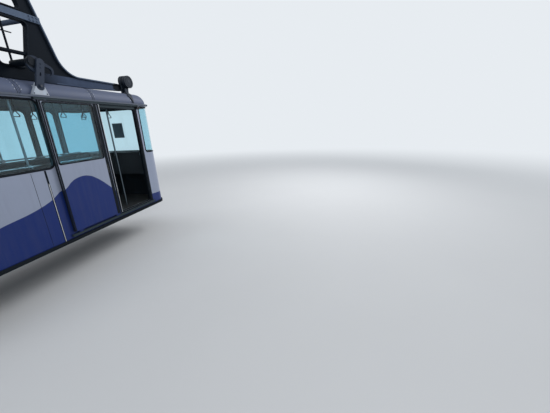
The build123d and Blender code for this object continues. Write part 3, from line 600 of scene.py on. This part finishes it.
def addLathe(build, centres, axes, profile, sides, hexRows=()):
    # point = centre + h * axis + r * (cos t * first + sin t * second) for each (r, h) of the profile;
    # in hexRows r follows a hexagon: r * cos 30 / cos(t mod 60 - 30)
    centres, profile = np.atleast_2d(np.asarray(centres, float)), np.asarray(profile, float)
    third = unit(np.broadcast_to(axes, centres.shape))
    first = unit(np.cross(np.where(np.abs(third[:, 2:]) > 0.9, (1, 0, 0), (0, 0, 1)), third))
    second = np.cross(third, first)
    angle = np.linspace(0, 2 * np.pi, sides, endpoint=False)
    radius = np.repeat(profile[:, :1], sides, 1)
    hexagon = math.cos(math.pi / 6) / np.cos(np.mod(angle, math.pi / 3) - math.pi / 6)
    for row in hexRows:
        radius[row] *= hexagon
    x, y, h = radius * np.cos(angle), radius * np.sin(angle), np.repeat(profile[:, 1:], sides, 1)
    one = gridFaces(len(profile), sides)
    points = (centres[:, None, None] + x[None, ..., None] * first[:, None, None]
              + y[None, ..., None] * second[:, None, None] + h[None, ..., None] * third[:, None, None])
    faces = one[None] + (np.arange(len(centres)) * len(profile) * sides)[:, None, None]
    build.add(points, faces.reshape(-1, 4))


def addBolts(build, spots, axis, size):
    # washer, hexagon head and chamfer; size is the head's corner radius
    rows = [(0, -0.1), (1.35, -0.1), (1.35, 0.2), (1, 0.2), (1, 0.8), (0.84, 0.95), (0, 0.95)]
    addLathe(build, spots, axis, np.array(rows) * size, 12, (3, 4))


def addBoltRings(build, centres, out, radius, count, size, start=0.0):
    # bolts evenly round each centre, on both faces across Y, this far out from it; radius 0 for a single one
    angle = np.arange(count) * 2 * math.pi / count + start
    for x, y, z in centres:
        for face in bothWays:
            spots = [x + radius * np.cos(angle), np.full(count, y + face * out), z + radius * np.sin(angle)]
            addBolts(build, np.stack(spots, 1), (0, face, 0), size)


def roundedRectangle(x0, x1, z0, z1, radius, perCorner, along):
    # outline points and outward directions of a rectangle with round corners, anticlockwise
    turn = np.linspace(0, np.pi / 2, perCorner)
    points, outward = [], []
    corners = [(x1 - radius, z1 - radius), (x0 + radius, z1 - radius), (x0 + radius, z0 + radius),
               (x1 - radius, z0 + radius)]
    for k, centre in enumerate(corners):
        direction = np.stack([np.cos(turn + k * np.pi / 2), np.sin(turn + k * np.pi / 2)], 1)
        points.append(np.array(centre) + radius * direction)
        outward.append(direction)
    points, outward = np.concatenate(points), np.concatenate(outward)
    # straight runs get extra points, so that they can follow a bent wall
    step = np.linspace(0, 1, along, endpoint=False)[:, None]
    following = np.roll(points, -1, 0)
    straight = np.linalg.norm(following - points, axis=1) > 4 * radius * np.pi / 2 / (perCorner - 1)
    dense = [(p + (q - p) * step, np.repeat(n[None], along, 0)) if s else (p[None], n[None])
             for p, q, n, s in zip(points, following, outward, straight)]
    return tuple(np.concatenate(part) for part in zip(*dense))


def sideSurface(sign):
    # (along, height, out) to a point outside a side wall
    return lambda s, z, out: np.stack([s, sign * (halfWidth + out), z], -1)


# distances round an end: from the middle of its face to the corner, and round the corner
endFlat = halfWidth - cornerRadius
endArc = cornerRadius * math.pi / 2


def endSurface(sign):
    # (distance round the end from the middle of its face, height, out) to a point outside the rounded end
    def point(s, z, out):
        away, side = np.abs(s), np.sign(s)
        turned = np.clip(away - endFlat, 0, endArc) / cornerRadius
        beyond = np.maximum(away - endFlat - endArc, 0)
        x = halfLength - cornerRadius + (cornerRadius + out) * np.cos(turned) - beyond
        y = np.minimum(away, endFlat) + (cornerRadius + out) * np.sin(turned)
        return np.stack([sign * x, side * y, z], -1)
    return point


def addTrim(build, surface, limits, levels, corner, profiles, perCorner=9, along=6):
    # each profile carried round an opening; its rows are (inwards from the outline, out from the wall)
    outline, outward = roundedRectangle(*limits, *(toZ(level) for level in levels), corner, perCorner, along)
    for profile in profiles:
        inward, out = np.array(profile).T
        s = outline[:, None, 0] - inward * outward[:, None, 0]
        z = outline[:, None, 1] - inward * outward[:, None, 1]
        points = surface(s, z, np.broadcast_to(out, s.shape))
        build.add(points, gridFaces(len(outline), len(profile), True))


# Window seals

windowSeals = {
    "windows": [(-1.86, -1.3), (-1.22, -0.12), (-0.04, 0.88)], "levels": (1.19, 2.265), "corner": 0.11,
    # a flat lip on the wall, a round bead, and a lip down on the glass
    "outer": [(-0.016, -0.0004), (-0.016, 0.003), (-0.008, 0.006), (0.002, 0.007), (0.01, 0.0045),
              (0.018, -0.0005), (0.018, -0.0026), (0.001, -0.0026), (0.001, -0.0004)],
    # lining of the opening from the glass to the room
    "inner": [(0.0005, -0.0155), (0.01, -0.0155), (0.005, -0.024), (0.005, -0.064), (-0.018, -0.064),
              (-0.018, -0.0604), (0.0005, -0.0604)],
}
for side, sign in sideSigns.items():
    seals, linings = Build(), Build()
    for places in windowSeals["windows"]:
        for build, profile in ((seals, "outer"), (linings, "inner")):
            addTrim(build, sideSurface(sign), span(sign, *places), windowSeals["levels"],
                    windowSeals["corner"], [windowSeals[profile]])
    seals.piece("window_seals_" + side, "blackRubber")
    linings.piece("window_linings_" + side, "revealPaint")

endSeals = {"door": 2.205, "window": 1.95, "levels": (1.205, 2.265), "corner": 0.07, "pointsAlong": 72}
for end, sign in endSigns.items():
    # the window ends this far from the cabin's middle on a side with a doorway there or a window,
    # as distances round the end, negative on the platform side
    limits = [y * (endFlat + endArc + halfLength - cornerRadius - endSeals[near])
              for y, near in zip(bothWays, ("door", "window") if sign == 1 else ("window", "door"))]
    seals = Build()
    addTrim(seals, endSurface(sign), limits, endSeals["levels"], endSeals["corner"],
            [windowSeals["outer"], windowSeals["inner"]], along=endSeals["pointsAlong"])
    seals.piece("end_seals_" + end, "blackRubber")
print("window seals made")

# Door leaves: window seals, dark strips and bright strip of the leading edge, grip

leafTrim = {
    "starts": {"platform": -0.135, "far": 0.95},  # trailing edge of the open and of the shut leaf
    "window": (0.045, 1.0), "windowLevels": (1.225, 2.238), "corner": 0.035,
    "seal": [(-0.006, 0.0498), (-0.006, 0.0515), (0.003, 0.0528), (0.01, 0.0505), (0.01, 0.0474),
             (0.0006, 0.0474), (0.0006, 0.0498)],
    "back": [(0.0006, 0.0115), (0.01, 0.0115), (0.004, 0.0345), (0.0006, 0.0345)],
}
full, proud, grip, rim = (0.029, 2.258), (0.0478, 0.0522), (0.92, 1.1), (0.045, 0.055)
leafStrips = {
    # material, edge rounding, boxes
    "door_strips_": ("blackRubber", 0.001, [
        ((1.136, 1.092), proud, full), ((1.084, 1.056), proud, full), ((1.048, 1.009), proud, full),
        ((1.083, 1.01), (0.049, 0.051), (0.03, 2.257)),  # a base under the second and third strip
        # the strip across the leaf's top is a dark sheet where the gutter's shadow falls, as painted shade
        ((0.003, 0.031), proud, full), ((0.004, 1.136), (0.0482, 0.0518), (2.246, 2.261))]),
    "door_edge_": ("uprightTrim", 0.0008, [((1.148, 1.14), (0.0475, 0.0525), full)]),
    "door_grip_": ("blackPlastic", 0.0006, [
        ((1.046, 1.04), rim, grip), ((1.026, 1.02), rim, grip), ((1.04, 1.026), (0.047, 0.053), grip)]),
}
for side, sign in sideSigns.items():
    start, body = leafTrim["starts"][side], "door_" + side
    seals = Build()
    addTrim(seals, sideSurface(sign), span(sign, *(start + place for place in leafTrim["window"])),
            leafTrim["windowLevels"], leafTrim["corner"], [leafTrim["seal"], leafTrim["back"]])
    seals.piece("door_seals_" + side, "blackRubber", body)
    addSidePieces(side, leafStrips, start, body)
print("door trim made")

# Doorways: rubber frame, sill, header plate, dark receiving post and end stop

doorway = {
    "places": (0.99, 2.06), "levels": (0.004, 2.2), "corner": 0.04,
    "outer": [(0.0005, 0.0), (0.0005, 0.004), (-0.02, 0.005), (-0.02, 0.0004), (-0.001, 0.0004)],
    "inner": [(0.0005, -0.0005), (0.014, -0.006), (0.014, -0.056), (-0.022, -0.064), (-0.022, -0.0604),
              (0.0005, -0.0604)],
    "treads": np.linspace(-0.0095, -0.091, 9), "treadHalf": 0.0025,
}
treads = [((1.01, 2.04), (out - doorway["treadHalf"], out + doorway["treadHalf"]), (0.006, 0.009))
          for out in doorway["treads"]]
doorwayBoxes = {
    # material, edge rounding, boxes
    "door_sill_": ("aluminiumTrim", 0.0, [
        ((1.006, 2.044), (-0.0005, -wallThickness - 0.04), (0.0005, 0.0065))] + treads),
    "door_header_": ("headerPaint", 0.001, [((1.002, 2.09), (0.0, 0.005), (2.206, 2.266))]),
    "door_post_": ("blackRubber", 0.001, [((2.064, 2.128), (0.0, 0.007), (-0.015, 2.266))] + [
        (places, (0.006, 0.0085), (-0.01, 2.262)) for places in ((2.076, 2.084), (2.094, 2.102))]),
    "door_stop_": ("blackPlastic", 0.003, [((2.132, 2.166), (-0.001, 0.045), (2.205, 2.2695))]),
}
for side, sign in sideSigns.items():
    lining = Build()
    addTrim(lining, sideSurface(sign), span(sign, *doorway["places"]), doorway["levels"], doorway["corner"],
            [doorway["outer"], doorway["inner"]], 7)
    lining.piece("doorway_seal_" + side, "blackRubber")
    addSidePieces(side, doorwayBoxes)
print("doorways made")

# Body side trim: an upright rubber strip with a bright bead up its lower part as painted reflection, sealant
# at the panel joints

sideTrim = {
    "bottom": -0.088, "upright": (-0.31, 1.168), "beadTop": 0.95,  # x and top of the upright strip
    "bead": [(-0.0055, 0.0015), (-0.0055, 0.0045), (-0.003, 0.0065), (0.003, 0.0065), (0.0055, 0.0045),
             (0.0055, 0.0015)],
    "strip": [(-0.016, -0.0003), (-0.016, 0.002), (-0.013, 0.0032), (0.013, 0.0032), (0.016, 0.002),
              (0.016, -0.0003)],
    "line": [(-0.003, -0.0004), (-0.003, 0.0006), (0.003, 0.0006), (0.003, -0.0004)],
    "joints": [(-0.53, 1.155), (-1.905, 2.29)],  # x and top of each sealant line
}


def addUpright(build, sign, x, top, profile):
    # a profile carried straight up the wall from the skirt
    path = [(-sign * x, sign * halfWidth, toZ(level)) for level in (sideTrim["bottom"], top)]
    addSweep(build, path, (1, 0, 0), (0, sign, 0), sideTrim[profile])


for side, sign in sideSigns.items():
    bright, lines = Build(), Build()
    # the bright bead stops at its top level; it stands for a reflection on the strip's lower part, as painted
    # reflection
    addUpright(bright, sign, sideTrim["upright"][0], sideTrim["beadTop"], "bead")
    bright.piece("panel_upright_" + side, "uprightTrim", smooth=False)
    addUpright(lines, sign, *sideTrim["upright"], "strip")
    for x, top in sideTrim["joints"]:
        addUpright(lines, sign, x, top, "line")
    lines.piece("panel_joints_" + side, "blackRubber", smooth=False)

# Roof: sealant beads beside the grooves and rivets along the seams

roofTrim = {
    "seams": [-2.05, -0.33, 0.98, 2.05], "top": 2.565, "cove": 0.22, "eaves": 2.332, "steps": 14,
    "beadOffset": 0.022,
    "bead": [(-0.0035, -0.0006), (-0.0035, 0.0008), (0, 0.0018), (0.0035, 0.0008), (0.0035, -0.0006)],
    "rivetOffset": 0.045, "rivetsAcross": 25, "rivetReach": 0.78,
    "dome": [(0, -0.0004), (0.005, -0.0004), (0.0046, 0.001), (0.003, 0.0021), (0, 0.0026)],
}


def roofSection(x, out):
    # across the roof at one x: up the side, round the cove, over the top and down again; out is off the skin
    turn = np.linspace(0, math.pi / 2, roofTrim["steps"])
    radius = roofTrim["cove"] + out
    y = halfWidth - roofTrim["cove"] + radius * np.cos(turn)
    z = toZ(roofTrim["top"]) - roofTrim["cove"] + radius * np.sin(turn)
    y, z = np.r_[y[0], y], np.r_[toZ(roofTrim["eaves"]), z]
    y, z = np.r_[y, -y[::-1]], np.r_[z, z[::-1]]
    return np.stack([np.full_like(y, x), y, z], 1)


beads, rivets = Build(), Build()
count, steps = roofTrim["rivetsAcross"], roofTrim["steps"]
for seam in roofTrim["seams"]:
    for way in bothWays:
        x = seam + way * roofTrim["beadOffset"]
        path = roofSection(x, 0.0)
        out = roofSection(x, 0.01) - path
        out[0], out[-1] = out[1], out[-2]
        addSweep(beads, path, (1, 0, 0), unit(out), roofTrim["bead"])
        x = seam + way * roofTrim["rivetOffset"]
        section = roofSection(x, 0.0)
        normal = unit(roofSection(x, 0.01) - section)
        across = np.linspace(-roofTrim["rivetReach"], roofTrim["rivetReach"], count)
        spots = np.stack([np.full(count, x), across, np.full(count, toZ(roofTrim["top"]))], 1)
        coves = np.r_[2:steps:2, steps + 2:2 * steps:2]  # every second point of both coves
        normals = np.concatenate([np.tile((0, 0, 1), (count, 1)), normal[coves]])
        addLathe(rivets, np.concatenate([spots, section[coves]]), normals, roofTrim["dome"], 8)
beads.piece("roof_sealant", "blackRubber")
rivets.piece("roof_rivets", "aluminiumTrim")
print("roof trim made")

# Inside: the blank grey panel on the end window, two lamp strips in trays under the ceiling

inside = {
    "panel": [(0.0195, -0.155, 1.56), (0.0155, 0.16, 1.937)],  # depth, Y and level of two corners
    "lampY": 0.16, "lampHalf": 2.1, "lampLevel": 2.5145,
    "lamp": [(-0.055, 0), (-0.05, -0.014), (-0.03, -0.022), (0.03, -0.022), (0.05, -0.014), (0.055, 0)],
    "trayOffset": 0.065, "trayHalf": 2.13, "trayWall": 0.01, "trayLevels": (2.493, 2.5149),
}
blank, lamps, trays = Build(), Build(), Build()
addBox(blank, *((halfLength - depth, y, toZ(level)) for depth, y, level in inside["panel"]))
blank.piece("window_panel", "signPlate", smooth=False, bevel=0.001)
half, wall = inside["trayHalf"], inside["trayWall"]
bottom, top = (toZ(level) for level in inside["trayLevels"])
for way in bothWays:
    y = way * inside["lampY"]
    path = [(x * inside["lampHalf"], y, toZ(inside["lampLevel"])) for x in bothWays]
    addSweep(lamps, path, (0, 1, 0), (0, 0, 1), inside["lamp"])
    for middle in (y - inside["trayOffset"], y + inside["trayOffset"]):
        addBox(trays, (-half, middle - wall, bottom), (half, middle + wall, top))
lamps.piece("ceiling_lamps", "lampDiffuser")
trays.piece("lamp_trays", "ceilingPanel", smooth=False, bevel=0.002)
print("interior trim made")

# Hanger: bolts of the cross band and the head, drum ribs and caps

hanger = {
    "flange": 0.045, "bandX": (-0.56, -0.5, -0.44, 0.44, 0.5, 0.56), "bandLevels": (3.56, 3.61),
    "bandBolt": 0.013, "web": 0.01, "headX": (-0.12, -0.04, 0.04, 0.12), "headLevels": (5.07, 5.23),
    "headBolt": 0.016, "drumX": 2.45, "drumLevel": 2.865,
    "cap": [(0, 0.0918), (0.042, 0.0918), (0.044, 0.0935), (0.042, 0.0955), (0.03, 0.0965), (0, 0.0965)],
    "rib": [(0.088, 0.0905), (0.092, 0.094), (0.098, 0.095), (0.104, 0.094), (0.108, 0.0905),
            (0.088, 0.0905)],
}
bolts, ribs, caps = Build(), Build(), Build()
for sign in bothWays:
    for face in bothWays:
        y = sign * (hangerY + face * hanger["flange"])
        spots = [(x, y, toZ(level)) for x in hanger["bandX"] for level in hanger["bandLevels"]]
        addBolts(bolts, spots, (0, sign * face, 0), hanger["bandBolt"])
    y = sign * (hangerY + hanger["web"])
    spots = [(x, y, toZ(level)) for x in hanger["headX"] for level in hanger["headLevels"]]
    addBolts(bolts, spots, (0, sign, 0), hanger["headBolt"])
    for end in bothWays:
        for face in bothWays:
            centre = (end * hanger["drumX"], sign * hangerY, toZ(hanger["drumLevel"]))
            addLathe(caps, centre, (0, face, 0), hanger["cap"], 28)
            addLathe(ribs, centre, (0, face, 0), hanger["rib"], 40)
bolts.piece("hanger_bolts", "hangerPaint", smooth=False)
caps.piece("drum_caps", "bandPaint")
ribs.piece("drum_ribs", "blackRubber")
print("hanger trim made")

# Slings: pin nuts, strap bolts and bracket bolts

sling = {
    "pin": (-0.026, 2.468), "lean": math.radians(73.0), "out": 0.0498, "strapBolts": (0.29, 0.35),
    "feet": (-0.15, 0.05), "footLevel": 2.356, "pinSize": 0.024, "strapSize": 0.009, "footSize": 0.008,
}
slings = Build()
for sign in bothWays:
    out = (0, sign, 0)
    face = sign * (halfWidth + sling["out"])
    pin = np.array((sling["pin"][0], face, toZ(sling["pin"][1])))
    up = np.array((math.cos(sling["lean"]), 0, math.sin(sling["lean"])))
    addBolts(slings, [pin + (0, sign * 0.0002, 0)], out, sling["pinSize"])
    addBolts(slings, [pin + up * far for far in sling["strapBolts"]], out, sling["strapSize"])
    addBolts(slings, [(x, face, toZ(sling["footLevel"])) for x in sling["feet"]], out, sling["footSize"])
slings.piece("sling_nuts", "slingPaint", smooth=False)

# Carriage: groove liners and hub bolts of the wheels, axle nuts, bogie and rocker bolts

axles = [(x, y, 0.175) for y in (-0.35, 0.35) for x in (-0.76, -0.28, 0.28, 0.76)]
carriage = {
    # bare running surface: the groove's floor and walls, 0.3 mm off the wheel
    "liner": [(0.1742, -0.0272), (0.1503, -0.0147), (0.1503, 0.0147), (0.1742, 0.0272), (0.1742, 0.0279),
              (0.1497, 0.0151), (0.1497, -0.0151), (0.1742, -0.0279), (0.1742, -0.0272)],
    # distance out, ring's radius, count and size of each wheel's bolts
    "hub": (0.013, 0.078, 6, 0.008),
    # centres, distance out, ring's radius, count, size and first angle of the other bolts
    "fixings": [
        (axles, 0.074, 0.0, 1, 0.02), (axles, 0.068, 0.048, 4, 0.007, 0.8),
        ([(-0.52, 0, 0.11), (0.52, 0, 0.11)], 0.135, 0.056, 6, 0.007),
        ([(-0.25, 0, 0.125), (0.25, 0, 0.125)], 0.135, 0.0, 1, 0.018),
        ([(0, 0, -0.2)], 0.1498, 0.0, 1, 0.03)],
}
for name in [n for n in cadNodes if n.startswith("wheel_") and n != "wheel_axles"]:
    low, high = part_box(name)
    centre = ((low.x + high.x) / 2, (low.y + high.y) / 2, (low.z + high.z) / 2)
    liner, hubBolts = Build(), Build()
    addLathe(liner, centre, (0, 1, 0), carriage["liner"], 56)
    liner.piece(name.replace("wheel_", "groove_liner_"), "bareSteel", name, smooth=False)
    addBoltRings(hubBolts, [centre], *carriage["hub"])
    hubBolts.piece(name.replace("wheel_", "wheel_bolts_"), "zincBolts", name, smooth=False)
fixings = Build()
for row in carriage["fixings"]:
    addBoltRings(fixings, *row)
fixings.piece("carriage_bolts", "zincBolts", "carriage", smooth=False)
print("carriage trim made")

# Stage, light and camera

stage = {
    "floor": -6.62, "size": 60.0, "floorColor": (0.62, 0.63, 0.64), "darkSpots": 0.96,
    # the floor fades into the backdrop between these distances
    "backdrop": (0.8, 0.84, 0.88), "fade": (5.0, 26.0),
    "skyColor": (0.78, 0.84, 0.92), "skyStrength": 0.42,
}
size = stage["size"]
corners = [(x * size, y * size, stage["floor"]) for x, y in ((-1, -1), (1, -1), (1, 1), (-1, 1))]
floorMesh = bpy.data.meshes.new("stage_floor")
floorMesh.from_pydata(corners, [], [(0, 1, 2, 3)])
floorObject = newObject("stage_floor", floorMesh)
tree, shader, place = startMaterial("stageFloor", 0.85)
darker = tuple(stage["darkSpots"] * c for c in stage["floorColor"])
mottled = mixColor(tree, noise(tree, place, 0.8, 3.0), stage["floorColor"], darker)
feed(tree, shader.inputs["Base Color"], mottled)
reach = addNode(tree, "VectorMath", {0: stretched(tree, place, (1, 1, 0))}, operation="LENGTH")
glow = addNode(tree, "Emission", {"Color": stage["backdrop"], "Strength": 1.0})
fade = mapRange(tree, reach.outputs["Value"], *stage["fade"], smooth=True)
mixShader(tree, fade, shader, glow, "Material Output")
floorMesh.materials.append(materials["stageFloor"])

world = bpy.data.worlds.new("studio")
bpy.context.scene.world = world
world.use_nodes = True
tree = world.node_tree
background = tree.nodes["Background"]
feed(tree, background.inputs["Color"], stage["skyColor"])
feed(tree, background.inputs["Strength"], stage["skyStrength"])
seen = addNode(tree, "Background", {"Color": stage["backdrop"], "Strength": 1.0})
rays = addNode(tree, "LightPath").outputs
direct = larger(tree, rays["Is Camera Ray"], rays["Is Glossy Ray"])
direct = larger(tree, direct, rays["Is Transmission Ray"])
mixShader(tree, direct, background, seen, "World Output")

lampSettings = [
    # place, target, width, watts
    ((9.0, -7.0, 2.0), (1.0, 0.0, -4.0), 6.0, 900),
    ((-6.0, -9.0, 1.0), (-1.0, 0.0, -4.0), 6.0, 260),
    ((0.0, 10.0, 4.0), (0.0, 0.0, -3.5), 7.0, 420),
    ((-9.0, 2.0, 5.0), (0.0, 0.0, -3.5), 6.0, 300),
]
for number, (spot, target, width, watts) in enumerate(lampSettings):
    data = bpy.data.lights.new(f"softLamp{number}", "AREA")
    data.shape, data.size, data.energy = "SQUARE", width, watts
    lamp = newObject(f"softLamp{number}", data)
    lamp.location = spot
    z = unit(np.array(spot) - np.array(target))
    x = unit(np.cross((0, 0, 1), z))
    lamp.rotation_euler = Matrix(np.stack([x, np.cross(z, x), z], 1).tolist()).to_euler()

view = {
    "place": (-3.73, -5.675, -4.03), "lens": 17.37, "sensor": 36.0, "clip": (0.05, 300.0),
    "right": (0.2081, -0.9771, -0.0476), "up": (0.2994, 0.0175, 0.9538), "forward": (0.9312, 0.2127, -0.2968),
}
cameraData = bpy.data.cameras.new("photoCamera")
cameraData.lens, cameraData.sensor_width = view["lens"], view["sensor"]
cameraData.clip_start, cameraData.clip_end = view["clip"]
camera = newObject("photoCamera", cameraData)
camera.rotation_mode = "QUATERNION"
axes = np.stack([unit(view["right"]), unit(view["up"]), -unit(view["forward"])], 1)
camera.rotation_quaternion = Matrix(axes.tolist()).to_quaternion()
camera.location = view["place"]
bpy.context.scene.camera = camera
bpy.context.scene.view_settings.view_transform = "Standard"

bpy.context.view_layer.update()
print("scene built")
